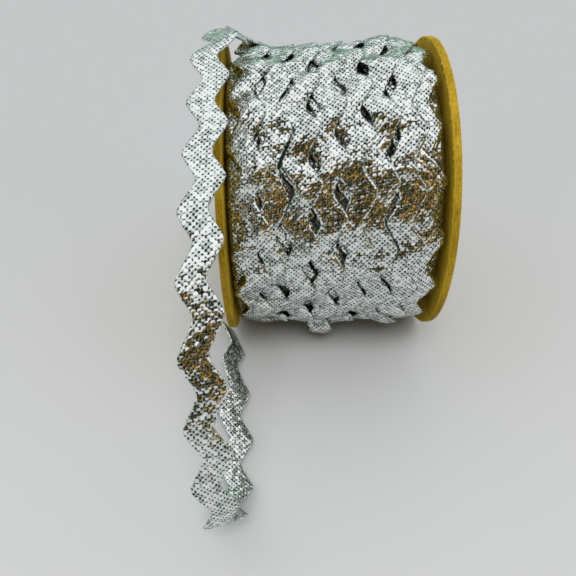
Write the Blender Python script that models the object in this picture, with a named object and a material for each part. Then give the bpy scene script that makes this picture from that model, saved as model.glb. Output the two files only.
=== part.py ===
"""Roll of silver ric rac on a board spool, with one loose end.

The spool lies on its two discs, its axis along X. The loose end leaves the winding at the top,
crosses the left disc, hangs in an arc towards -Y, folds on the table and runs back under itself.
Units are metres and Z is up. The origin is on the table, at the middle of the footprint.
"""

import math
from collections import namedtuple

import bmesh
import bpy
from mathutils import Vector

# Driving dimensions
DISC_RADIUS = 0.0508
DISC_THICKNESS = 0.0025
DISC_EDGE_ROUND = 0.0008
DISC_UNEVENNESS = 0.00012
DISC_FLAT_DEPTH = 0.00035
DISC_STEPS = 80
BETWEEN_DISCS = 0.0674

BRAID_WIDTH = 0.0122
BRAID_PERIOD = 0.37 * DISC_RADIUS
BRAID_SWING = 0.0021
BRAID_THICKNESS = 0.0014
BRAID_EDGE_SHARE = 0.6
TIP_SHARPNESS = 0.94
NOTCH_SHARPNESS = 0.86

# The winding
TURNS = 7
HUB_RADIUS = 0.015
HUB_TO_DISC = 0.0003
END_TURN_TO_DISC = 0.0010
BELOW_DISC_RIM = 0.0013
LEFT_SAG = 0.0017
LEFT_SAG_FROM = 0.1
LEFT_SAG_TO = 0.5
TURN_UNEVENNESS = 0.0004
OVERLAP_STEP = 0.0003
CREASE_DEPTH = 0.0005
CREASE_HALF = 0.0004
GAP_DEPTH_GAIN = 0.6
GAP_FLOOR_SHARE = 0.6
LAYER_STEP = 0.0024
LAYER_TO_DISC = 0.0007
EDGE_FOOT_DROP = 0.0012
EDGE_FOOT_OUT = 0.0002
STEPS_PER_WAVE = 6
TURN_PHASES = (0, 2, 5, 1, 4, 2, 5)

# One peak of an outer turn stands off the front of the winding, low down
LOOSE_TURN = 3
LOOSE_ANGLE = math.radians(-47.0)
LOOSE_SPREAD = math.radians(9.0)
LOOSE_LIFT = 0.0030

# The loose end
STEPS_PER_PERIOD = 8
HEADING_STEP = 0.02
LEAN = math.radians(9.0)
RIM_FLOOR = -(DISC_RADIUS - DISC_FLAT_DEPTH)
LYING = (RIM_FLOOR + BRAID_THICKNESS / 2) / DISC_RADIUS

# The route of the loose end, a row for each bend of it: how many zigzags from where it crosses
# the disc, then its place from the spool's centre in disc radii (towards the viewer, up, and to
# the right along the spool), and its twist in degrees. A twist of more than 0 lowers its right
# side where it runs towards the viewer, and raises it where it runs back.
Bend = namedtuple("Bend", "along toward up side twist")
ROUTE = (
    Bend(-2.00, -0.681, 0.697, -0.500, 0.0),
    Bend(-1.50, -0.545, 0.838, -0.524, 12.0),
    Bend(-1.00, -0.435, 0.928, -0.562, 32.0),
    Bend(-0.50, -0.322, 1.003, -0.620, 32.0),
    Bend(0.00, -0.165, 1.056, -0.676, -8.0),
    Bend(0.50, 0.020, 1.108, -0.672, -18.0),
    Bend(1.00, 0.200, 1.092, -0.718, -6.0),
    Bend(2.00, 0.556, 1.007, -0.722, 0.0),
    Bend(3.00, 0.914, 0.914, -0.728, 0.0),
    Bend(4.00, 1.268, 0.807, -0.736, 0.0),
    Bend(5.00, 1.594, 0.635, -0.740, 0.0),
    Bend(6.00, 1.875, 0.395, -0.736, 0.0),
    Bend(7.00, 2.063, 0.079, -0.730, 0.0),
    Bend(8.00, 2.188, -0.266, -0.722, 3.0),
    Bend(8.50, 2.230, -0.443, -0.711, 7.0),
    Bend(9.00, 2.216, -0.617, -0.696, 12.0),
    Bend(9.50, 2.125, -0.768, -0.682, 15.0),
    Bend(10.00, 1.990, -0.880, -0.674, 10.0),
    Bend(10.50, 1.830, -0.949, -0.672, 4.0),
    Bend(11.00, 1.654, -0.974, -0.675, 1.0),
    Bend(11.50, 1.470, -0.970, -0.678, -2.0),
    Bend(12.00, 1.284, -0.958, -0.682, -12.0),
    Bend(12.50, 1.100, -0.918, -0.688, -30.0),
    Bend(13.00, 0.914, -0.892, -0.690, -48.0),
    Bend(13.50, 0.730, -0.876, -0.697, -54.0),
    Bend(14.05, 0.528, -0.948, -0.728, -50.0),
)


def clear_scene():
    for item in list(bpy.data.objects):
        bpy.data.objects.remove(item, do_unlink=True)


def make_material(name, colour, metallic, roughness):
    material = bpy.data.materials.new(name)
    material.use_nodes = True
    shader = material.node_tree.nodes["Principled BSDF"]
    shader.inputs["Base Color"].default_value = (*colour, 1.0)
    shader.inputs["Metallic"].default_value = metallic
    shader.inputs["Roughness"].default_value = roughness
    return material


def add_object(name, mesh, material, smooth_angle):
    mesh.shade_smooth()
    mesh.set_sharp_from_angle(angle=math.radians(smooth_angle))
    mesh.materials.append(material)
    item = bpy.data.objects.new(name, mesh)
    bpy.context.scene.collection.objects.link(item)
    return item


def spool_point(side, radius, angle):
    """A point round the spool: angle 0 faces the viewer and a quarter turn is the top."""
    return Vector((side, -radius * math.cos(angle), radius * math.sin(angle)))


def zigzag(along, left_sharpness, right_sharpness):
    """Runs from 1 at each whole number, a left tip, to -1 half way, a right tip."""
    swing = math.cos(math.tau * along)
    sharpness = left_sharpness if swing > 0 else right_sharpness
    return math.asin(sharpness * swing) / math.asin(sharpness)


def braid_edges(along):
    """How far the braid's left and right edges lie from its middle line."""
    half = BRAID_WIDTH / 2 - BRAID_SWING
    left = -half - BRAID_SWING * zigzag(along, TIP_SHARPNESS, NOTCH_SHARPNESS)
    right = half - BRAID_SWING * zigzag(along, NOTCH_SHARPNESS, TIP_SHARPNESS)
    return left, right


def make_disc(name, middle_x, material):
    """A die-cut board disc with soft edges and a small flat where it rests."""
    shape = bmesh.new()
    bmesh.ops.create_cone(shape, cap_ends=True, segments=DISC_STEPS, radius1=DISC_RADIUS,
                          radius2=DISC_RADIUS, depth=DISC_THICKNESS)
    for corner in shape.verts:
        angle = math.atan2(corner.co.y, corner.co.x)
        uneven = math.sin(3 * angle + 40 * middle_x) + math.sin(7 * angle - 90 * middle_x)
        corner.co.xy *= 1 + uneven * DISC_UNEVENNESS / DISC_RADIUS
        corner.co = Vector((corner.co.z + middle_x, corner.co.y, -corner.co.x))
    cut = bmesh.ops.bisect_plane(shape, geom=shape.verts[:] + shape.edges[:] + shape.faces[:],
                                 plane_co=(0, 0, RIM_FLOOR), plane_no=(0, 0, -1),
                                 clear_outer=True)
    cut_edges = [item for item in cut["geom_cut"] if isinstance(item, bmesh.types.BMEdge)]
    bmesh.ops.contextual_create(shape, geom=cut_edges)
    bmesh.ops.recalc_face_normals(shape, faces=shape.faces[:])
    mesh = bpy.data.meshes.new(name)
    shape.to_mesh(mesh)
    shape.free()
    disc = add_object(name, mesh, material, 40)
    edge = disc.modifiers.new("Soft edge", "BEVEL")
    edge.width = DISC_EDGE_ROUND
    edge.segments = 2
    edge.limit_method = "ANGLE"
    edge.angle_limit = math.radians(40)
    return disc


def turn_radius(turn, angle):
    """The outer radius of one turn: lower at the left, and nowhere quite even."""
    place = (turn / (TURNS - 1) - LEFT_SAG_FROM) / (LEFT_SAG_TO - LEFT_SAG_FROM)
    place = min(max(place, 0.0), 1.0)
    radius = DISC_RADIUS - BELOW_DISC_RIM - LEFT_SAG * (1 - place)
    ripple = math.sin(2 * angle + 1.3 * turn) + math.sin(5 * angle - 2.1 * turn)
    radius += TURN_UNEVENNESS * ripple / 2
    radius += OVERLAP_STEP if turn % 2 else -OVERLAP_STEP
    if turn == LOOSE_TURN:
        radius += LOOSE_LIFT * math.exp(-((angle - LOOSE_ANGLE) / LOOSE_SPREAD) ** 2)
    return radius


def winding_outline(angle, waves):
    """The winding's outline at one angle, from the left hub to the right hub, as side and radius."""
    wall = BETWEEN_DISCS / 2
    first = -wall + END_TURN_TO_DISC + BRAID_WIDTH / 2
    spacing = -2 * first / (TURNS - 1)
    turns = []
    for turn in range(TURNS):
        along = waves * angle / math.tau + TURN_PHASES[turn] / STEPS_PER_WAVE
        left, right = braid_edges(along)
        middle = first + turn * spacing
        turns.append([middle + left, middle + right, turn_radius(turn, angle)])

    start, end = turns[0], turns[-1]
    outline = [
        (-wall + HUB_TO_DISC, HUB_RADIUS),
        (-wall + LAYER_TO_DISC, start[2] - LAYER_STEP),
        (start[0] - EDGE_FOOT_OUT, start[2] - EDGE_FOOT_DROP),
        (start[0], start[2]),
    ]
    for here, there in zip(turns, turns[1:]):
        gap = there[0] - here[1]
        middle = (there[0] + here[1]) / 2
        half = max(gap / 2, CREASE_HALF)
        floor = min(here[2], there[2]) - CREASE_DEPTH - GAP_DEPTH_GAIN * max(gap, 0.0)
        outline += [
            (middle - half, here[2]),
            (middle - GAP_FLOOR_SHARE * half, floor),
            (middle + GAP_FLOOR_SHARE * half, floor),
            (middle + half, there[2]),
        ]
    outline += [
        (end[1], end[2]),
        (end[1] + EDGE_FOOT_OUT, end[2] - EDGE_FOOT_DROP),
        (wall - LAYER_TO_DISC, end[2] - LAYER_STEP),
        (wall - HUB_TO_DISC, HUB_RADIUS),
    ]
    return outline


def make_winding(material):
    """All the wound braid as one solid, its outer turns raised as nested zigzags."""
    waves = round(math.tau * (DISC_RADIUS - BELOW_DISC_RIM) / BRAID_PERIOD)
    steps = waves * STEPS_PER_WAVE
    shape = bmesh.new()
    rows = []
    for step in range(steps):
        angle = math.tau * step / steps - math.pi
        outline = winding_outline(angle, waves)
        rows.append([shape.verts.new(spool_point(side, radius, angle)) for side, radius in outline])
    for row, following in zip(rows, rows[1:] + rows[:1]):
        for column in range(len(row) - 1):
            shape.faces.new((row[column], row[column + 1], following[column + 1], following[column]))
    shape.faces.new([row[0] for row in rows])
    shape.faces.new([row[-1] for row in rows])
    bmesh.ops.recalc_face_normals(shape, faces=shape.faces[:])
    mesh = bpy.data.meshes.new("winding")
    shape.to_mesh(mesh)
    shape.free()
    return add_object("winding", mesh, material, 35)


def route_at(along):
    """The loose end's middle line and twist, read from a smooth curve through the bends."""
    last = len(ROUTE) - 2
    piece = next((i for i in range(last) if along < ROUTE[i + 1].along), last)
    before, start = ROUTE[max(piece - 1, 0)], ROUTE[piece]
    end, after = ROUTE[piece + 1], ROUTE[min(piece + 2, last + 1)]
    span = end.along - start.along
    t = (along - start.along) / span
    values = []
    for name in ("side", "toward", "up", "twist"):
        a, b = getattr(start, name), getattr(end, name)
        slope_a = (b - getattr(before, name)) / (end.along - before.along) * span
        slope_b = (getattr(after, name) - a) / (after.along - start.along) * span
        values.append((2 * t**3 - 3 * t**2 + 1) * a + (t**3 - 2 * t**2 + t) * slope_a
                      + (3 * t**2 - 2 * t**3) * b + (t**3 - t**2) * slope_b)
    side, toward, up, twist = values
    return Vector((side, -toward, max(up, LYING))) * DISC_RADIUS, math.radians(twist)


def braid_section(along):
    """Six corners round the loose end where it is crossed, thinner at its edges."""
    middle, twist = route_at(along)
    heading = (route_at(along + HEADING_STEP)[0] - route_at(along - HEADING_STEP)[0]).normalized()
    level = Vector((1, 0, 0))
    level = (level - level.dot(heading) * heading).normalized()
    face = heading.cross(level)
    across = level * math.cos(twist) - face * math.sin(twist)
    face = heading.cross(across)
    across = across * math.cos(LEAN) - heading * math.sin(LEAN)
    left, right = braid_edges(along)
    centre = (left + right) / 2
    half = BRAID_THICKNESS / 2
    thin = half * BRAID_EDGE_SHARE
    ring = ((left, thin), (centre, half), (right, thin), (right, -thin), (centre, -half), (left, -thin))
    return [middle + across * offset + face * height for offset, height in ring]


def make_loose_end(material):
    """The free length of braid, a sheet with zigzag edges along its route."""
    first, last = ROUTE[0].along, ROUTE[-1].along
    start, end = math.ceil(first * STEPS_PER_PERIOD), math.floor(last * STEPS_PER_PERIOD)
    stations = [first] + [step / STEPS_PER_PERIOD for step in range(start, end + 1)] + [last]
    shape = bmesh.new()
    rings = [[shape.verts.new(corner) for corner in braid_section(along)] for along in stations]
    for ring, following in zip(rings, rings[1:]):
        for here in range(len(ring)):
            there = (here + 1) % len(ring)
            shape.faces.new((ring[here], ring[there], following[there], following[here]))
    shape.faces.new(rings[0])
    shape.faces.new(rings[-1])
    bmesh.ops.recalc_face_normals(shape, faces=shape.faces[:])
    mesh = bpy.data.meshes.new("loose_end")
    shape.to_mesh(mesh)
    shape.free()
    return add_object("loose_end", mesh, material, 50)


def stand_on_origin(items):
    """Moves the pieces together so that the origin is under the middle of their box."""
    corners = [corner.co for item in items for corner in item.data.vertices]
    low = [min(corner[axis] for corner in corners) for axis in range(3)]
    high = [max(corner[axis] for corner in corners) for axis in range(3)]
    shift = Vector((-(low[0] + high[0]) / 2, -(low[1] + high[1]) / 2, -RIM_FLOOR))
    for item in items:
        for corner in item.data.vertices:
            corner.co += shift


def main():
    clear_scene()
    board = make_material("Kraft board", (0.48, 0.36, 0.13), 0.0, 0.85)
    silver = make_material("Silver braid", (0.80, 0.81, 0.82), 0.9, 0.35)
    disc_middle = (BETWEEN_DISCS + DISC_THICKNESS) / 2
    items = [
        make_disc("flange_left", -disc_middle, board),
        make_disc("flange_right", disc_middle, board),
        make_winding(silver),
        make_loose_end(silver),
    ]
    stand_on_origin(items)


main()
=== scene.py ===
"""The looks of a roll of silver ric rac: two board discs, the wound braid and its loose end.

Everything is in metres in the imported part's own frame. The spool's axis runs along X, the viewer
stands towards -Y, and Z is up.
"""

import math
from collections import namedtuple

import bmesh
import bpy
from bpy.props import FloatProperty, FloatVectorProperty, IntProperty, PointerProperty
from mathutils import Matrix, Vector, noise


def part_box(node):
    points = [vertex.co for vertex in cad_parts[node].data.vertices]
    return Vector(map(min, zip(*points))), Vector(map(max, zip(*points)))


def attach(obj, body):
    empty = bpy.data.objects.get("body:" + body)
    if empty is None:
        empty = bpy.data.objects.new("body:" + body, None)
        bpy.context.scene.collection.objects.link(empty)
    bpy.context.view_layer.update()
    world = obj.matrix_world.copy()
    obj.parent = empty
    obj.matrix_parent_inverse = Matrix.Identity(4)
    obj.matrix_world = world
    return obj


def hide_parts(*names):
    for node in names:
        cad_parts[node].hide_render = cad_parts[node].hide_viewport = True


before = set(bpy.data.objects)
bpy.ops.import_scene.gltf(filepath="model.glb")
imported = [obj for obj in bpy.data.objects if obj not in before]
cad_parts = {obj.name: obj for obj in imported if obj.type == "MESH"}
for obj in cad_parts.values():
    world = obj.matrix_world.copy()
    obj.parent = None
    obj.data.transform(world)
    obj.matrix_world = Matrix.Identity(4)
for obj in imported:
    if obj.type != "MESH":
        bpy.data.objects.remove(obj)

bl_info = {
    "name": "Ric rac roll",
    "version": (1, 0, 0),
    "blender": (4, 5, 0),
    "location": "3D View > Sidebar > Ric rac",
    "description": "Dresses the roll of ric rac: board discs, wound braid, loose end and studio",
    "category": "Object",
}

# The spool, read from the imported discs
LEFT_LOW, LEFT_HIGH = (Vector(corner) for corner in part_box("flange_left"))
RIGHT_LOW, RIGHT_HIGH = (Vector(corner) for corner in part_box("flange_right"))
DISC_RADIUS = 0.0508
DISC_FLAT_DEPTH = 0.00035
SPOOL_CENTRE = Vector(((LEFT_HIGH.x + RIGHT_LOW.x) / 2, (LEFT_LOW.y + LEFT_HIGH.y) / 2,
                       DISC_RADIUS - DISC_FLAT_DEPTH))
WALL = (RIGHT_LOW.x - LEFT_HIGH.x) / 2

# The braid's zigzag, as the part has it
TIP_SHARPNESS = 0.94
NOTCH_SHARPNESS = 0.86
LEAN = math.radians(9.0)
HEADING_STEP = 0.02
ZIGZAG_LENGTH = 0.37 * DISC_RADIUS
HALF_SHEET = 0.0007
LYING = -(DISC_RADIUS - DISC_FLAT_DEPTH - HALF_SHEET) / DISC_RADIUS

# The loose end's route, a row for each bend: how many zigzags from where it crosses the disc, its
# place from the spool's centre in disc radii (towards the viewer, up, and to the right), and its
# twist in degrees. A twist of more than 0 lowers its right side where it runs towards the viewer,
# and raises it where it runs back.
Bend = namedtuple("Bend", "along toward up side twist")
ROUTE = (
    Bend(-2.00, -0.681, 0.697, -0.500, 0.0),
    Bend(-1.50, -0.545, 0.838, -0.524, 12.0),
    Bend(-1.00, -0.435, 0.928, -0.562, 32.0),
    Bend(-0.50, -0.322, 1.003, -0.620, 32.0),
    Bend(0.00, -0.165, 1.056, -0.676, -8.0),
    Bend(0.50, 0.020, 1.108, -0.672, -18.0),
    Bend(1.00, 0.200, 1.092, -0.718, -6.0),
    Bend(2.00, 0.556, 1.007, -0.722, 0.0),
    Bend(3.00, 0.914, 0.914, -0.728, 0.0),
    Bend(4.00, 1.268, 0.807, -0.736, 0.0),
    Bend(5.00, 1.594, 0.635, -0.740, 0.0),
    Bend(6.00, 1.875, 0.395, -0.736, 0.0),
    Bend(7.00, 2.063, 0.079, -0.730, 0.0),
    Bend(8.00, 2.188, -0.266, -0.722, 3.0),
    Bend(8.50, 2.230, -0.443, -0.711, 7.0),
    Bend(9.00, 2.216, -0.617, -0.696, 12.0),
    Bend(9.50, 2.125, -0.768, -0.682, 15.0),
    Bend(10.00, 1.990, -0.880, -0.674, 10.0),
    Bend(10.50, 1.830, -0.949, -0.672, 4.0),
    Bend(11.00, 1.654, -0.974, -0.675, 1.0),
    Bend(11.50, 1.470, -0.970, -0.678, -2.0),
    Bend(12.00, 1.284, -0.958, -0.682, -12.0),
    Bend(12.50, 1.100, -0.918, -0.688, -30.0),
    Bend(13.00, 0.914, -0.892, -0.690, -48.0),
    Bend(13.50, 0.730, -0.876, -0.697, -54.0),
    Bend(14.05, 0.528, -0.948, -0.728, -50.0),
)

# One layer of wound braid: which way it travels, how many turns it makes, how many of them it stays
# beside the disc where it starts and where it ends, and the seed of its unevenness
Layer = namedtuple("Layer", "name start_side end_side turns dwell_start dwell_end seed")
TIP_TO_DISC = 0.0010
HALF_BRAID = 0.0061
UNDER_INSET = 0.0012
SIDE_STOP = WALL - TIP_TO_DISC - HALF_BRAID
UNDER_STOP = SIDE_STOP - UNDER_INSET
LEAVING_ANGLE = math.atan2(ROUTE[0].up, ROUTE[0].toward)
TURN_ROWS = 362
LAYERS = (
    Layer("wound_braid_deep", UNDER_STOP, -UNDER_STOP, 8.0, 1.0, 1.0, 11.0),
    Layer("wound_braid_under", -UNDER_STOP, UNDER_STOP, 8.0, 1.0, 1.0, 23.0),
    Layer("wound_braid_outer", SIDE_STOP, -SIDE_STOP, 8.4, 0.9, 0.8, 111.0),
)


class BoardSettings(bpy.types.PropertyGroup):
    """Sizes and colours of the two discs."""
    softness: FloatProperty(name="Rim softness", default=0.0006, unit="LENGTH",
                            description="How far the die-cut rim is rounded off")
    fibre: FloatProperty(name="Fibre", default=0.00016, unit="LENGTH",
                         description="How far loose fibres make the rim uneven")
    light_colour: FloatVectorProperty(name="Light board", subtype="COLOR", min=0, max=1,
                                      default=(0.56, 0.37, 0.028),
                                      description="The board's light fibres")
    dark_colour: FloatVectorProperty(name="Dark board", subtype="COLOR", min=0, max=1,
                                     default=(0.24, 0.155, 0.006),
                                     description="The board's dark fibres")


class BraidSettings(bpy.types.PropertyGroup):
    """Sizes and colours of the ric rac braid."""
    width: FloatProperty(name="Width", default=0.0122, unit="LENGTH",
                         description="From left tips to right tips")
    swing: FloatProperty(name="Swing", default=0.0021, unit="LENGTH",
                         description="How far each edge swings from its middle")
    thickness: FloatProperty(name="Thickness", default=0.0013, unit="LENGTH",
                             description="Thickness of the free braid")
    wound_thickness: FloatProperty(name="Wound thickness", default=0.0010, unit="LENGTH",
                                   description="Thickness of the braid pressed on the roll")
    relief: FloatProperty(name="Yarn relief", default=0.00005, unit="LENGTH",
                          description="How far the yarns stand up where they cross over")
    rows: IntProperty(name="Yarn rows", default=22, description="Rows of yarn in one zigzag")
    columns: IntProperty(name="Yarn columns", default=11, description="Columns across the braid")
    silver: FloatVectorProperty(name="Silver", subtype="COLOR", min=0, max=1,
                                default=(0.91, 0.96, 0.935), description="Bright metal yarn")
    # Painted shade: a darker silver that whole yarn cells get at random, standing for yarns turned away
    # from the light
    turned_away_shade: FloatVectorProperty(name="Dull silver", subtype="COLOR", min=0, max=1,
                              default=(0.42, 0.46, 0.44), description="Yarn that is turned away")
    # Painted shade: the gap colour is a dark green given where the yarns meet, standing for the shadow in
    # the hollows between them
    gap: FloatVectorProperty(name="Gap", subtype="COLOR", min=0, max=1,
                             default=(0.007, 0.026, 0.018), description="Between the yarns")


class WindingSettings(bpy.types.PropertyGroup):
    """How the braid is wound."""
    core_radius: FloatProperty(name="Core radius", default=0.0440, unit="LENGTH",
                               description="Radius of the filled roll under the shown layers")
    phase_wander: FloatProperty(name="Phase wander", default=0.5,
                                description="How far the zigzags slip along, in zigzags")
    side_wander: FloatProperty(name="Side wander", default=0.0010, unit="LENGTH",
                               description="How far the turns stray sideways")
    left_sag: FloatProperty(name="Left sag", default=0.0017, unit="LENGTH",
                            description="How much lower the roll is at its left end")
    crumple: FloatProperty(name="Crumple", default=0.00038, unit="LENGTH",
                           description="How unevenly each turn lies")
    curl: FloatProperty(name="Curl", default=0.0003, unit="LENGTH",
                        description="How far the peaks curl up from the roll")
    loose_lift: FloatProperty(name="Loose peak", default=0.0042, unit="LENGTH",
                              description="How far one peak stands off low on the front")


class StageSettings(bpy.types.PropertyGroup):
    """The floor, the lights and the camera."""
    floor_colour: FloatVectorProperty(name="Floor", subtype="COLOR", min=0, max=1,
                                      default=(0.54, 0.55, 0.56), description="The plain floor")
    low_light: FloatVectorProperty(name="Low light", subtype="COLOR", min=0, max=2,
                                   default=(0.09, 0.35, 0.20), description="Light from low down")
    high_light: FloatVectorProperty(name="High light", subtype="COLOR", min=0, max=2,
                                    default=(0.95, 0.95, 0.97), description="Light from above")
    lamp: FloatProperty(name="Lamp", default=1.65, description="Strength of the soft lamp above")
    lens: FloatProperty(name="Lens", default=40.6, description="Focal length in millimetres")


# Which output of the Texture Coordinate node gives a place on the object itself
OBJECT_COORDINATES = 3


class Value:
    """A shader socket that can stand in Python sums; each sum adds its Math node."""

    def __init__(self, tree, socket):
        self.tree = tree
        self.socket = socket

    def math(self, operation, *terms):
        node = self.tree.nodes.new("ShaderNodeMath")
        node.operation = operation
        for place, term in zip(node.inputs, terms):
            if isinstance(term, Value):
                self.tree.links.new(term.socket, place)
            else:
                place.default_value = term
        return Value(self.tree, node.outputs[0])

    def __add__(self, other):
        return self.math("ADD", self, other)

    def __sub__(self, other):
        return self.math("SUBTRACT", self, other)

    def __rsub__(self, other):
        return self.math("SUBTRACT", other, self)

    def __mul__(self, other):
        return self.math("MULTIPLY", self, other)

    def __truediv__(self, other):
        return self.math("DIVIDE", self, other)

    def __pow__(self, other):
        return self.math("POWER", self, other)

    __radd__ = __add__
    __rmul__ = __mul__

    def cosine(self):
        return self.math("COSINE", self)

    def nearest(self):
        return self.math("ROUND", self)

    def odd(self):
        return self.math("FLOORED_MODULO", self, 2.0)

    def size(self):
        return self.math("ABSOLUTE", self)


class Nodes:
    """Adds nodes to one tree."""

    def __init__(self, tree):
        self.tree = tree
        tree.nodes.clear()

    def add(self, kind, settings=None, sockets=None, output=0):
        """Adds a node: its settings first, then values or links for its sockets."""
        node = self.tree.nodes.new(kind)
        for name, setting in (settings or {}).items():
            if name == "stops":
                self.set_stops(node.color_ramp, setting)
            else:
                setattr(node, name, setting)
        for name, value in (sockets or {}).items():
            if isinstance(value, Value):
                self.tree.links.new(value.socket, node.inputs[name])
            else:
                node.inputs[name].default_value = value
        return Value(self.tree, node.outputs[output]) if node.outputs else node

    @staticmethod
    def set_stops(ramp, stops):
        while len(ramp.elements) < len(stops):
            ramp.elements.new(1.0)
        for element, (position, colour) in zip(ramp.elements, stops):
            element.position = position
            element.color = (*colour, 1.0)

    def split(self, vector):
        node = self.tree.nodes.new("ShaderNodeSeparateXYZ")
        self.tree.links.new(vector.socket, node.inputs[0])
        return [Value(self.tree, output) for output in node.outputs]

    def join(self, x, y, z):
        return self.add("ShaderNodeCombineXYZ", sockets={"X": x, "Y": y, "Z": z})

    def blend(self, share, first, second):
        """A colour between two colours."""
        first, second = (colour if isinstance(colour, Value) else (*colour, 1.0)
                         for colour in (first, second))
        return self.add("ShaderNodeMix", {"data_type": "RGBA", "clamp_factor": True},
                        {0: share, 6: first, 7: second}, output=2)

    def ease(self, value, low, high):
        """0 below low, 1 above high, and smooth between them."""
        return self.add("ShaderNodeMapRange", {"interpolation_type": "SMOOTHSTEP"},
                        {"Value": value, "From Min": low, "From Max": high})


def new_material(name):
    material = bpy.data.materials.new(name)
    material.use_nodes = True
    return material, Nodes(material.node_tree)


def finish_shader(nodes, colour, roughness, normal, metallic=0.0, **constants):
    """The Principled shader and the output; constants go on the shader's own sockets."""
    sockets = {"Base Color": colour, "Roughness": roughness, "Metallic": metallic, "Normal": normal}
    shader = nodes.add("ShaderNodeBsdfPrincipled", sockets={**sockets, **constants})
    nodes.add("ShaderNodeOutputMaterial", sockets={"Surface": shader})


def make_silver():
    """Plaited metal yarn: bright dots on a staggered grid, some darkened as painted shade of yarns turned
    away, and painted shade as dark specks where they meet.
    """
    look = bpy.context.scene.ricrac_braid
    material, nodes = new_material("Silver braid")
    place = nodes.add("ShaderNodeUVMap", {"uv_map": "yarns"})
    along, across, _ = nodes.split(place)
    stray = nodes.add("ShaderNodeTexNoise", sockets={"Vector": place, "Scale": 0.45, "Detail": 1.0},
                      output=1)
    stray_along, stray_across, thin = nodes.split(stray)
    reach = 0.5
    along = along + (stray_along - 0.5) * reach
    across = across + (stray_across - 0.5) * reach
    first, second = (along + across) * 0.5, (along - across) * 0.5
    first_cell, second_cell = first.nearest(), second.nearest()
    first_off, second_off = first - first_cell, second - second_cell
    leaning = (first_cell + second_cell).odd()
    over = first_off + leaning * (second_off - first_off)
    down = second_off + leaning * (first_off - second_off)
    length, width = 0.92, 0.88
    crown = (over * (length * math.pi)).cosine() * (down * (width * math.pi)).cosine()
    cell = nodes.join(first_cell, second_cell, 0.0)
    chance = nodes.add("ShaderNodeTexWhiteNoise", {"noise_dimensions": "3D"}, {"Vector": cell}, 1)
    tilt, tip, shine = nodes.split(chance)
    meeting = (first_off * math.tau).cosine() + (second_off * math.tau).cosine()
    uneven = (thin - 0.5) * 2.4 + (shine - 0.5) * 1.4
    yarn = nodes.ease(meeting + uneven, -1.25, -0.70)
    # Painted shade: at random each yarn cell gets a colour between the darker silver of yarns turned away
    # and the bright silver
    colour = nodes.blend(shine ** 0.5, look.turned_away_shade, look.silver)
    # Painted shade: the dark gap colour fills where the yarns meet, for the shadow between them, and
    # there the surface is not metallic
    colour = nodes.blend(yarn, look.gap, colour)
    roughness = 0.40 - yarn * (0.27 - tilt * 0.08)
    facet = (tilt - 0.5) * first_off + (tip - 0.5) * second_off
    height = crown * 0.05 + facet * 0.36 + thin * 0.32
    normal = nodes.add("ShaderNodeBump", sockets={"Strength": 1.0, "Distance": 0.001,
                                                  "Height": height})
    finish_shader(nodes, colour, roughness, normal, metallic=yarn, **{"Specular IOR Level": 0.1})
    return material


def make_board():
    """Kraft board: mottled fibres, thin plies that show on the cut rim, and a painted highlight along the
    rim's edges.
    """
    look = bpy.context.scene.ricrac_board
    material, nodes = new_material("Kraft board")
    place = nodes.add("ShaderNodeTexCoord", output=OBJECT_COORDINATES)
    side, depth, up = nodes.split(place)
    ply_flatness = 9.0
    plies = nodes.add("ShaderNodeTexNoise", sockets={
        "Vector": nodes.join(side * ply_flatness, depth, up), "Scale": 320.0, "Detail": 4.0,
        "Roughness": 0.6})
    fibres = nodes.add("ShaderNodeTexNoise", sockets={
        "Vector": place, "Scale": 1400.0, "Detail": 3.0, "Roughness": 0.65})
    blotches = nodes.add("ShaderNodeTexNoise", sockets={
        "Vector": place, "Scale": 70.0, "Detail": 3.0})
    mix = plies * 0.45 + fibres * 0.35 + blotches * 0.35
    colour = nodes.blend(nodes.ease(mix, 0.42, 0.72), look.dark_colour, look.light_colour)
    # Painted highlight: the rim is lighter close to each flat face, where its rounded edges catch the
    # light
    half_disc = (LEFT_HIGH.x - LEFT_LOW.x) / 2
    from_ply = ((side - SPOOL_CENTRE.x).size() - (WALL + half_disc)).size()
    rim_edge_highlight = nodes.ease(from_ply + blotches * 0.0006, half_disc - 0.0004, half_disc + 0.0003)
    colour = nodes.blend(rim_edge_highlight * 0.6, colour, look.light_colour)
    normal = nodes.add("ShaderNodeBump", sockets={"Strength": 0.7, "Distance": 0.0003,
                                                  "Height": fibres + plies * 0.6})
    finish_shader(nodes, colour, 0.86, normal, **{"Specular IOR Level": 0.12})
    return material


def find_material(name, make):
    return bpy.data.materials.get(name) or make()


def spool_point(side, radius, angle):
    """A point round the spool: angle 0 faces the viewer and a quarter turn is the top."""
    return SPOOL_CENTRE + Vector((side, -radius * math.cos(angle), radius * math.sin(angle)))


def zigzag(along, left_sharpness, right_sharpness):
    """Runs from 1 at each whole number, a left tip, to -1 half way, a right tip."""
    swing = math.cos(math.tau * along)
    sharpness = left_sharpness if swing > 0 else right_sharpness
    return math.asin(sharpness * swing) / math.asin(sharpness)


def braid_edges(along):
    """How far the braid's left and right edges lie from its middle line."""
    braid = bpy.context.scene.ricrac_braid
    half = braid.width / 2 - braid.swing
    left = -half - braid.swing * zigzag(along, TIP_SHARPNESS, NOTCH_SHARPNESS)
    right = half - braid.swing * zigzag(along, NOTCH_SHARPNESS, TIP_SHARPNESS)
    return left, right


RingPoint = namedtuple("RingPoint", "offset height column")


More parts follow.
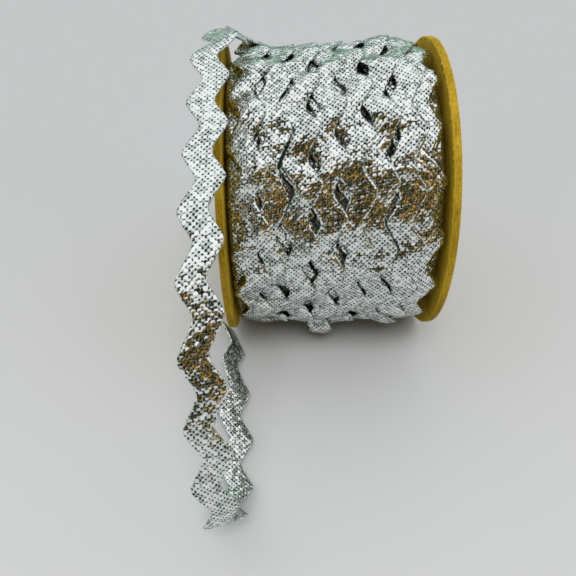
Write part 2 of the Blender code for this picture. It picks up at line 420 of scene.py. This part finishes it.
def braid_ring(row, along, thickness, under_columns):
    """The points round one row of yarns: across the top, then back underneath.

    Yarns cross over at every other point, so those stand up, and the braid's edges are beaded."""
    braid = bpy.context.scene.ricrac_braid
    left, right = braid_edges(along)
    last = braid.columns - 1
    columns = list(range(braid.columns))
    under = [last + 1 + last * step / (under_columns - 1) for step in range(under_columns)]
    edge_thinning, bead_size, bead_middle = 0.45, 3, 0.3
    ring = []
    for column in columns + under:
        on_top = column <= last
        place = column / last if on_top else 1 - (column - last - 1) / last
        outward = 2 * place - 1
        at_edge = abs(outward) > 0.99
        crossing = 1 if (row + round(column)) % 2 == 0 else -1
        height = thickness / 2 * (1 - edge_thinning * outward ** 4) + crossing * braid.relief
        bead = bead_size * (crossing + bead_middle) * braid.relief if at_edge else 0.0
        offset = left + (right - left) * place + math.copysign(bead, outward)
        ring.append(RingPoint(offset, height if on_top else -height, column))
    return ring


def mesh_of_rings(name, rows, rings, points):
    """A closed strip through rings of points, with the yarns' grid as its UV map.

    The grid stays upright: it doesn't lean where the zigzag runs to one side."""
    mesh = bpy.data.meshes.new(name)
    size = len(rings[0])
    corners = [point for ring in points for point in ring]
    faces = []
    for start in range(0, len(corners) - size, size):
        for here in range(size):
            there = (here + 1) % size
            faces.append((start + here, start + size + here, start + size + there, start + there))
    faces.append(tuple(range(size)))
    faces.append(tuple(range(len(corners) - 1, len(corners) - size - 1, -1)))
    mesh.from_pydata(corners, [], faces)
    layer = mesh.uv_layers.new(name="yarns")
    columns = [point.column for point in rings[0]]
    last = bpy.context.scene.ricrac_braid.columns - 1

    def yarn(step, column):
        """A yarn's row, and its column counted from a straight line instead of the zigzag's edge."""
        left, right = rings[step][0].offset, rings[step][last].offset
        swing = (left + right) / 2 * last / (right - left)
        return rows[step], column + (swing if column <= last else -swing)

    places = []
    for step in range(len(rows) - 1):
        for here in range(size):
            low = columns[here]
            high = columns[here + 1] if here + 1 < size else low + 1
            places += [*yarn(step, low), *yarn(step + 1, low), *yarn(step + 1, high), *yarn(step, high)]
    for step in (0, len(rows) - 1):
        for column in columns:
            places += yarn(step, column)
    layer.uv.foreach_set("vector", places)
    mesh.shade_smooth()
    return mesh


def add_piece(name, mesh, material, node):
    """Shows a mesh as a piece of the roll in place of one of the part's nodes."""
    mesh.materials.clear()
    mesh.materials.append(material)
    piece = bpy.data.objects.new(name, mesh)
    bpy.context.scene.collection.objects.link(piece)
    return dress(piece, node)


def dress(piece, node):
    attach(piece, "root")
    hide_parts(node)
    return piece


def start_piece(name):
    """Names the primitive that was just added and puts its place into its mesh."""
    piece = bpy.context.active_object
    piece.name = piece.data.name = name
    bpy.ops.object.transform_apply(location=True, rotation=True, scale=True)
    return piece


def select_faces(piece, wanted):
    """In edit mode, selects only the faces that a test accepts."""
    shape = bmesh.from_edit_mesh(piece.data)
    for face in shape.faces:
        face.select_set(bool(wanted(face)))
    shape.select_flush_mode()
    bmesh.update_edit_mesh(piece.data)


class RICRAC_OT_discs(bpy.types.Operator):
    """Cuts the two board discs, with soft, fibrous rims and a small flat where they rest"""
    bl_idname = "ricrac.discs"
    bl_label = "Board discs"

    rim_steps = 440
    face_insets = (0.0012, 0.004, 0.012, 0.014)
    frayed_width = 0.0015
    fibres = ((180, 1.0), (700, 0.7), (1900, 0.5))
    swell_scale = 900

    def execute(self, context):
        board = find_material("Kraft board", make_board)
        for name, node, low, high in (("board_disc_left", "flange_left", LEFT_LOW, LEFT_HIGH),
                                      ("board_disc_right", "flange_right", RIGHT_LOW, RIGHT_HIGH)):
            disc = self.cut(context, name, low.x, high.x)
            disc.data.materials.clear()
            disc.data.materials.append(board)
            dress(disc, node)
        return {"FINISHED"}

    def cut(self, context, name, low, high):
        look = context.scene.ricrac_board
        bpy.ops.object.select_all(action="DESELECT")
        centre = Vector(((low + high) / 2, SPOOL_CENTRE.y, SPOOL_CENTRE.z))
        bpy.ops.mesh.primitive_cylinder_add(vertices=self.rim_steps, radius=DISC_RADIUS, depth=high - low,
                                            location=centre, rotation=(0, math.pi / 2, 0))
        disc = start_piece(name)
        bpy.ops.object.mode_set(mode="EDIT")
        bpy.ops.mesh.select_mode(type="FACE")
        select_faces(disc, lambda face: abs(face.normal.x) > 0.9)
        bpy.ops.mesh.inset(thickness=look.softness, use_boundary=True)
        for width in self.face_insets:
            bpy.ops.mesh.inset(thickness=width, use_boundary=True)
        select_faces(disc, lambda face: abs(face.normal.x) < 0.1)
        bpy.ops.mesh.subdivide(number_cuts=1)
        bpy.ops.object.mode_set(mode="OBJECT")

        rim = disc.modifiers.new("Rim", "BEVEL")
        rim.width = look.softness
        rim.segments = 3
        rim.limit_method = "ANGLE"
        rim.angle_limit = math.radians(50)
        bpy.ops.object.modifier_apply(modifier=rim.name)

        for corner in disc.data.vertices:
            out = (corner.co - centre) * Vector((0, 1, 1))
            near_rim = max(0.0, 1 - (DISC_RADIUS - out.length) / self.frayed_width)
            uneven = sum(share * noise.noise(corner.co * scale) for scale, share in self.fibres)
            corner.co += out.normalized() * uneven * look.fibre * near_rim
            swell = noise.noise(corner.co * self.swell_scale + Vector((5, 0, 0))) * near_rim
            corner.co.x += math.copysign(swell * look.fibre, corner.co.x - centre.x)
            corner.co.z = max(corner.co.z, 0.0)
        disc.data.shade_smooth()
        return disc


class RICRAC_OT_wound_braid(bpy.types.Operator):
    """Winds layer on layer of braid round a filled core"""
    bl_idname = "ricrac.wound_braid"
    bl_label = "Wound braid"

    # A row's support is averaged over this many rows to each side, each read as the highest within
    # reach, and a block of rows is laid before it counts as wound
    smoothing = 3
    reach = 1
    block = 200
    # The wound surface is kept as heights in cells of this width, read at places across the braid
    cell = 0.0007
    places = 13
    # The braid's middle may hang this far below its sides, and its sides this far below its middle
    middle_hang = 0.0002
    side_drop = 0.0011
    # Where the left sag ends and how wide it fades, as shares of the roll's width
    sag_end = 0.18
    sag_fade = 0.34
    # Over how many zigzags the last turn settles and rises, and how long the wanders are
    settling = 1.9
    rising = 1.6
    side_wave = 1.9
    slip_wave = 7.8
    # The loose peak: where it is, how wide, and how much it lifts the left, middle and right
    peak_angle = math.radians(-50)
    peak_spread = math.radians(9)
    peak_side = 0.0018
    peak_width = 0.004
    peak_shares = (1.2, 0.6, 0.2)

    def execute(self, context):
        silver = find_material("Silver braid", make_silver)
        self.core(context, silver)
        cells = math.ceil(2 * WALL / self.cell) + 1
        winding = context.scene.ricrac_winding
        profile = []
        for column in range(cells):
            share = (column / (cells - 1) - self.sag_end) / self.sag_fade
            share = min(max(share, 0.0), 1.0)
            profile.append(winding.core_radius - winding.left_sag * (1 - share))
        self.surface = [list(profile) for _ in range(TURN_ROWS)]
        angle = LEAVING_ANGLE + math.tau * sum(layer.turns for layer in LAYERS)
        for layer in LAYERS:
            mesh = self.wind(context, layer, angle)
            add_piece(layer.name, mesh, silver, "winding")
            angle -= math.tau * layer.turns
        return {"FINISHED"}

    @staticmethod
    def core(context, material):
        """The filled roll that shows only deep between the turns."""
        radius = context.scene.ricrac_winding.core_radius
        gap, edge_width, yarn_pitch = 0.0006, 0.0015, 0.0008
        bpy.ops.object.select_all(action="DESELECT")
        bpy.ops.mesh.primitive_cylinder_add(vertices=96, radius=radius, depth=2 * (WALL - gap),
                                            location=SPOOL_CENTRE, rotation=(0, math.pi / 2, 0))
        core = start_piece("wound_core")
        bpy.ops.object.mode_set(mode="EDIT")
        bpy.ops.mesh.select_mode(type="FACE")
        select_faces(core, lambda face: abs(face.normal.x) > 0.9)
        bpy.ops.mesh.inset(thickness=0.004, use_boundary=True)
        bpy.ops.mesh.inset(thickness=0.02, use_boundary=True)
        bpy.ops.object.mode_set(mode="OBJECT")
        edge = core.modifiers.new("Soft edge", "BEVEL")
        edge.width = edge_width
        edge.segments = 3
        edge.limit_method = "ANGLE"
        edge.angle_limit = math.radians(50)
        bpy.ops.object.modifier_apply(modifier=edge.name)
        layer = core.data.uv_layers.new(name="yarns")
        for loop in core.data.loops:
            place = core.data.vertices[loop.vertex_index].co - SPOOL_CENTRE
            turn = math.atan2(place.z, -place.y) / math.tau
            layer.uv[loop.index].vector = (turn * TURN_ROWS, place.x / yarn_pitch)
        core.data.materials.clear()
        core.data.materials.append(material)
        core.data.shade_smooth()
        dress(core, "winding")

    def wind(self, context, layer, first_angle):
        """Lays one layer on what is already wound, and returns its mesh."""
        braid = context.scene.ricrac_braid
        winding = context.scene.ricrac_winding
        count = round(layer.turns * TURN_ROWS)
        step = math.tau / TURN_ROWS
        last_row = round(ROUTE[0].along * braid.rows)
        rows = [last_row - count + index for index in range(count + 1)]
        lines = []
        for index, row in enumerate(rows):
            done = index / braid.rows
            left_to_go = (count - index) / braid.rows
            settle = min(left_to_go / self.settling, 1.0) if layer is LAYERS[-1] else 1.0
            turn = index / TURN_ROWS
            travel = (turn - layer.dwell_start) / (layer.turns - layer.dwell_start - layer.dwell_end)
            travel = min(max(travel, 0.0), 1.0)
            wander = noise.noise(Vector((done / self.side_wave, layer.seed, 0.5)))
            wander = wander * winding.side_wander * 1.6
            side = layer.start_side + (layer.end_side - layer.start_side) * travel
            side = min(max(side + wander, -SIDE_STOP), SIDE_STOP)
            side = ROUTE[0].side * DISC_RADIUS * (1 - settle) + side * settle
            slip = noise.noise(Vector((done / self.slip_wave, layer.seed, 9.5)))
            slip = slip * winding.phase_wander * 2
            along = row / braid.rows + slip * settle
            lines.append((first_angle - index * step, side, along))

        rings, points, radii = [], [], []
        for start in range(0, count + 1, self.block):
            stop = min(start + self.block, count + 1)
            margin = self.smoothing + self.reach
            low, high = max(start - margin, 0), min(stop + margin, count + 1)
            raw = [self.support(lines[index]) for index in range(low, high)]
            for index in range(start, stop):
                here = index - low
                profile = self.smooth(raw, here)
                profile = self.crumple(layer, lines[index], profile, index / braid.rows)
                rest = self.lift(layer, lines[index], profile, (count - index) / braid.rows)
                ring = braid_ring(rows[index], lines[index][2], braid.wound_thickness, 3)
                points.append(self.place(lines[index], ring, rest, braid.wound_thickness))
                rings.append(ring)
                radii.append(rest)
            for index in range(start, stop):
                self.cover(lines[index], radii[index], braid.wound_thickness)
        return mesh_of_rings(layer.name, rows, rings, points)

    def cells_under(self, line):
        """Which cells of the wound surface lie under one row of the braid, from left to right."""
        angle, side, along = line
        left, right = braid_edges(along)
        here = math.floor(angle / math.tau * TURN_ROWS)
        for step in range(self.places):
            offset = left + (right - left) * step / (self.places - 1)
            lean = offset * math.sin(LEAN) / (DISC_RADIUS * math.tau / TURN_ROWS)
            column = round((side + offset * math.cos(LEAN) + WALL) / self.cell)
            column = min(max(column, 0), len(self.surface[0]) - 1)
            yield (here + round(lean)) % TURN_ROWS, column

    def support(self, line):
        """How high the surface stands under the braid's left part, middle and right part."""
        heights = [self.surface[row][column] for row, column in self.cells_under(line)]
        left, middle, right = max(heights[:4]), max(heights[4:9]), max(heights[9:])
        middle = max(middle, (left + right) / 2 - self.middle_hang)
        return max(left, middle - self.side_drop), middle, max(right, middle - self.side_drop)

    def smooth(self, raw, here):
        """The braid bridges short gaps: highest support nearby, then an even slope."""
        last = len(raw) - 1
        totals = [0.0, 0.0, 0.0]
        for index in range(here - self.smoothing, here + self.smoothing + 1):
            low, high = max(index - self.reach, 0), min(index + self.reach, last)
            near = raw[min(low, last):max(high, 0) + 1]
            for part in range(3):
                totals[part] += max(item[part] for item in near)
        return [total / (2 * self.smoothing + 1) for total in totals]

    @staticmethod
    def crumple(layer, line, profile, done):
        """Each turn lies unevenly, and some of its peaks curl up."""
        winding = bpy.context.scene.ricrac_winding
        swing = math.cos(math.tau * line[2])
        peaks = (max(0.0, swing) ** 3, 0.0, max(0.0, -swing) ** 3)
        heights = []
        for part, (height, peak) in enumerate(zip(profile, peaks)):
            bump = (noise.noise(Vector((done * 3.5, 4.7 * part, layer.seed)))
                    + 0.4 * noise.noise(Vector((done * 7, 4.7 * part, layer.seed + 3))))
            chance = 0.5 + noise.noise(Vector((line[2] * 0.7, 8.3 * part, layer.seed + 5)))
            heights.append(height + bump * winding.crumple + peak * chance * winding.curl)
        return heights

    def lift(self, layer, line, profile, left_to_go):
        """Raises the outer layer's end to meet the loose end, and one loose peak."""
        if layer is not LAYERS[-1]:
            return profile
        braid, winding = bpy.context.scene.ricrac_braid, bpy.context.scene.ricrac_winding
        meeting = math.hypot(ROUTE[0].toward, ROUTE[0].up) * DISC_RADIUS - braid.wound_thickness / 2
        share = max(0.0, 1 - left_to_go / self.rising)
        share = share * share * (3 - 2 * share)
        angle, side, _ = line
        angle = (angle + math.pi) % math.tau - math.pi
        peak = math.exp(-((angle - self.peak_angle) / self.peak_spread) ** 2
                        - ((side - self.peak_side) / self.peak_width) ** 2) * winding.loose_lift
        return [height + (meeting - height) * share + peak * part
                for height, part in zip(profile, self.peak_shares)]

    @staticmethod
    def across(rest, place):
        """Height of the braid's under side at a place across it, -1 at the left and 1 at the right."""
        left, middle, right = rest
        return middle + (right - left) / 2 * place + ((right + left) / 2 - middle) * place * place

    def place(self, line, ring, rest, thickness):
        angle, side, along = line
        left, right = braid_edges(along)
        corners = []
        for point in ring:
            place = min(max(2 * (point.offset - left) / (right - left) - 1, -1.0), 1.0)
            radius = self.across(rest, place) + thickness / 2 + point.height
            lean = point.offset * math.sin(LEAN) / radius
            corners.append(spool_point(side + point.offset * math.cos(LEAN), radius, angle + lean))
        return corners

    def cover(self, line, rest, thickness):
        for step, (row, column) in enumerate(self.cells_under(line)):
            top = self.across(rest, 2 * step / (self.places - 1) - 1) + thickness
            self.surface[row][column] = max(self.surface[row][column], top)


def route_at(along):
    """The loose end's middle line and twist, read from a smooth curve through the bends."""
    last = len(ROUTE) - 2
    piece = next((i for i in range(last) if along < ROUTE[i + 1].along), last)
    before, start = ROUTE[max(piece - 1, 0)], ROUTE[piece]
    end, after = ROUTE[piece + 1], ROUTE[min(piece + 2, last + 1)]
    span = end.along - start.along
    t = (along - start.along) / span
    values = []
    for name in ("side", "toward", "up", "twist"):
        a, b = getattr(start, name), getattr(end, name)
        slope_a = (b - getattr(before, name)) / (end.along - before.along) * span
        slope_b = (getattr(after, name) - a) / (after.along - start.along) * span
        values.append((2 * t**3 - 3 * t**2 + 1) * a + (t**3 - 2 * t**2 + t) * slope_a
                      + (3 * t**2 - 2 * t**3) * b + (t**3 - t**2) * slope_b)
    side, toward, up, twist = values
    place = Vector((side, -toward, max(up, LYING))) * DISC_RADIUS
    return SPOOL_CENTRE + place, math.radians(twist)


class RICRAC_OT_loose_end(bpy.types.Operator):
    """Lays the free length of braid over the disc, down in its arc and back along the table"""
    bl_idname = "ricrac.loose_end"
    bl_label = "Loose end"

    def execute(self, context):
        braid = context.scene.ricrac_braid
        silver = find_material("Silver braid", make_silver)
        first = round(ROUTE[0].along * braid.rows)
        last = math.floor(ROUTE[-1].along * braid.rows)
        rows = list(range(first, last + 1))
        rings = [braid_ring(row, row / braid.rows, braid.thickness, braid.columns) for row in rows]
        points = [self.place(row / braid.rows, ring) for row, ring in zip(rows, rings)]
        mesh = mesh_of_rings("loose_braid", rows, rings, points)
        piece = add_piece("loose_braid", mesh, silver, "loose_end")
        bpy.ops.object.select_all(action="DESELECT")
        piece.select_set(True)
        context.view_layer.objects.active = piece
        finer = piece.modifiers.new("Finer", "SUBSURF")
        finer.levels = finer.render_levels = 1
        finer.uv_smooth = "NONE"
        bpy.ops.object.modifier_apply(modifier=finer.name)
        length = (ROUTE[-1].along - ROUTE[0].along) * ZIGZAG_LENGTH
        share = 1 - 2 * braid.swing / braid.width
        share * braid.width * length
        return {"FINISHED"}

    @staticmethod
    def place(along, ring):
        middle, twist = route_at(along)
        heading = route_at(along + HEADING_STEP)[0] - route_at(along - HEADING_STEP)[0]
        heading.normalize()
        level = Vector((1, 0, 0))
        level = (level - level.dot(heading) * heading).normalized()
        face = heading.cross(level)
        across = level * math.cos(twist) - face * math.sin(twist)
        face = heading.cross(across)
        across = across * math.cos(LEAN) - heading * math.sin(LEAN)
        corners = [middle + across * point.offset + face * point.height for point in ring]
        for corner in corners:
            corner.z = max(corner.z, 0.0)
        return corners


class RICRAC_OT_stage(bpy.types.Operator):
    """Sets the pale floor, the soft studio light and the camera"""
    bl_idname = "ricrac.stage"
    bl_label = "Studio"

    def execute(self, context):
        look = context.scene.ricrac_stage
        self.floor(look)
        self.light(look)
        self.lamp(context, look)
        self.camera(context, look)
        context.scene.view_settings.view_transform = "Standard"
        return {"FINISHED"}

    @staticmethod
    def floor(look):
        bpy.ops.object.select_all(action="DESELECT")
        bpy.ops.mesh.primitive_plane_add(size=6.0, location=(0, 0, 0))
        floor = start_piece("floor")
        material, nodes = new_material("Pale floor")
        _, back, _ = nodes.split(nodes.add("ShaderNodeTexCoord", output=OBJECT_COORDINATES))
        # Painted shade: the floor's colour is darker towards the back, standing for less light falling
        # there
        back_shade_share = 0.86
        painted_back_shade = tuple(part * back_shade_share for part in look.floor_colour)
        colour = nodes.blend(nodes.ease(back, -0.10, 0.15), look.floor_colour, painted_back_shade)
        finish_shader(nodes, colour, 0.6, (0, 0, 0), **{"Specular IOR Level": 0.2})
        floor.data.materials.append(material)

    @staticmethod
    def light(look):
        """A bright room that is greener low down, and dark and warm towards the viewer.

        It shows in the metal only: the background itself stays plain and pale."""
        world = bpy.data.worlds.new("Studio")
        world.use_nodes = True
        bpy.context.scene.world = world
        nodes = Nodes(world.node_tree)
        direction = nodes.add("ShaderNodeTexCoord")
        x, y, z = nodes.split(direction)
        walls = nodes.blend(nodes.ease(z, -0.1, 0.60), look.low_light, look.high_light)
        height, narrowness = math.radians(15), 0.4
        ahead = z * math.sin(height) - y * math.cos(height)
        spread = (x * x * narrowness + y * y + z * z) ** 0.5
        dark = nodes.ease(ahead / spread, 0.60, 0.76)
        patches = nodes.add("ShaderNodeTexNoise", sockets={
            "Vector": direction, "Scale": 3.2, "Detail": 3.0})
        warm = nodes.add("ShaderNodeValToRGB", {"stops": (
            (0.42, (0.001, 0.002, 0.002)), (0.50, (0.020, 0.019, 0.004)), (0.56, (0.15, 0.10, 0.008)),
            (0.63, (0.60, 0.26, 0.02)), (0.74, (0.56, 0.44, 0.18)))}, {"Fac": patches})
        room = nodes.blend(dark, walls, warm)
        seen_directly = nodes.add("ShaderNodeLightPath")
        background = nodes.add("ShaderNodeBackground", sockets={
            "Color": nodes.blend(seen_directly, room, look.high_light)})
        nodes.add("ShaderNodeOutputWorld", sockets={"Surface": background})

    @staticmethod
    def lamp(context, look):
        """A broad soft light above and a little towards the viewer, which the metal doesn't show."""
        light = bpy.data.lights.new("Soft light", "SUN")
        light.angle = math.radians(26)
        light.energy = look.lamp
        lamp = bpy.data.objects.new("Soft light", light)
        context.scene.collection.objects.link(lamp)
        lamp.location = (0.0, -0.5, 1.0)
        lamp.rotation_euler = (-lamp.location).to_track_quat("-Z", "Y").to_euler()
        lamp.visible_glossy = False

    @staticmethod
    def camera(context, look):
        """Looks down at 45 degrees, with the spool's axis all but level in the picture.

        The part's directions and the spool's centre are given as the camera sees them: x to the
        right, y down the picture and z away from it."""
        steep = math.radians(45)
        right = Vector((1, -0.028, 0.015)).normalized()
        toward = Vector((0, math.sin(steep), -math.cos(steep)))
        toward = (toward - toward.dot(right) * right).normalized()
        up = -right.cross(toward)
        centre = Vector((0.271, -0.738, 4.701)) * DISC_RADIUS
        across, down, ahead = (Vector((right[axis], -toward[axis], up[axis])) for axis in range(3))
        data = bpy.data.cameras.new("Camera")
        data.lens = look.lens
        data.sensor_width = 36
        data.clip_start = 0.01
        camera = bpy.data.objects.new("Camera", data)
        context.scene.collection.objects.link(camera)
        place = SPOOL_CENTRE - (centre.x * across + centre.y * down + centre.z * ahead)
        turn = Matrix((across, -down, -ahead)).transposed()
        camera.matrix_world = Matrix.Translation(place) @ turn.to_4x4()
        context.scene.camera = camera


class RICRAC_PT_roll(bpy.types.Panel):
    """Lists the steps that dress the roll"""
    bl_idname = "RICRAC_PT_roll"
    bl_label = "Ric rac roll"
    bl_space_type = "VIEW_3D"
    bl_region_type = "UI"
    bl_category = "Ric rac"

    def draw(self, context):
        scene = context.scene
        for settings, steps in (
                (scene.ricrac_board, (RICRAC_OT_discs,)),
                (scene.ricrac_braid, ()),
                (scene.ricrac_winding, (RICRAC_OT_wound_braid, RICRAC_OT_loose_end)),
                (scene.ricrac_stage, (RICRAC_OT_stage,))):
            box = self.layout.box()
            for name in settings.__annotations__:
                box.prop(settings, name)
            for step in steps:
                box.operator(step.bl_idname)


SETTINGS = {
    "ricrac_board": BoardSettings,
    "ricrac_braid": BraidSettings,
    "ricrac_winding": WindingSettings,
    "ricrac_stage": StageSettings,
}
STEPS = (RICRAC_OT_discs, RICRAC_OT_wound_braid, RICRAC_OT_loose_end, RICRAC_OT_stage)


def register():
    for item in (*SETTINGS.values(), *STEPS, RICRAC_PT_roll):
        bpy.utils.register_class(item)
    for name, settings in SETTINGS.items():
        setattr(bpy.types.Scene, name, PointerProperty(type=settings))


def unregister():
    for name in SETTINGS:
        delattr(bpy.types.Scene, name)
    for item in (RICRAC_PT_roll, *reversed(STEPS), *reversed(SETTINGS.values())):
        bpy.utils.unregister_class(item)


def main():
    register()
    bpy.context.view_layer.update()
    for step in STEPS:
        group, action = step.bl_idname.split(".")
        getattr(getattr(bpy.ops, group), action)()


if __name__ == "__main__":
    main()
